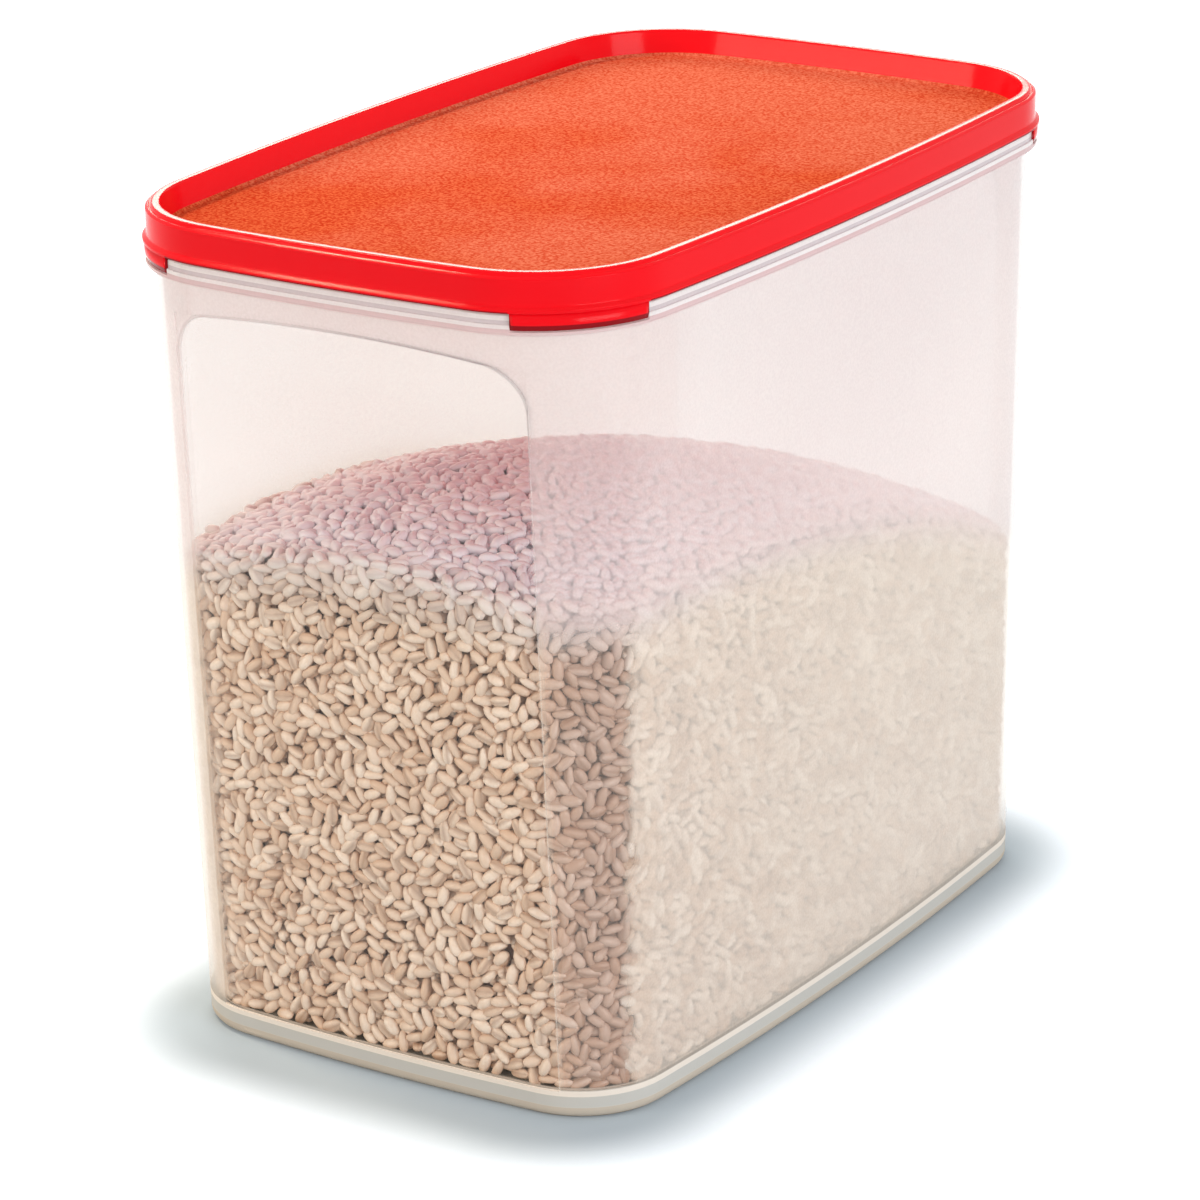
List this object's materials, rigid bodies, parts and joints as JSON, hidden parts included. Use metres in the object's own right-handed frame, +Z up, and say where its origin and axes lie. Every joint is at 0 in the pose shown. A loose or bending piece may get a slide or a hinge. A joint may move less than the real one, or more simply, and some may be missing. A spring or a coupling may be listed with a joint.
{
  "type": "modular storage container",
  "caption": "Tall rectangular food container with bowed translucent walls, clear end windows and a press-on recessed lid, shown part filled with grain.",
  "frame": {"origin": "middle of the base, in the plane that the container stands on", "axes": "+Z up; +Y along the long sides, away from the front window; +X to the right seen from the front window"},
  "size_m": [0.165, 0.265, 0.235],
  "materials": {
    "tub_plastic": "translucent polypropylene, frosted, with polished clear windows in the narrow ends",
    "lid_plastic": "soft gloss polyethylene, with a fine stipple on the sunk panel",
    "wheat": "dry whole wheat kernels, semi-matt"
  },
  "bodies": {
    "container": {"tub": "tub_plastic", "wheat_fill": "wheat"},
    "lid": {"lid": "lid_plastic"}
  },
  "joints": [
    {"name": "lid_lift", "type": "slide", "parent": "container", "child": "lid", "axis": [0, 0, 1], "range_m": [0, 0.12]}
  ]
}
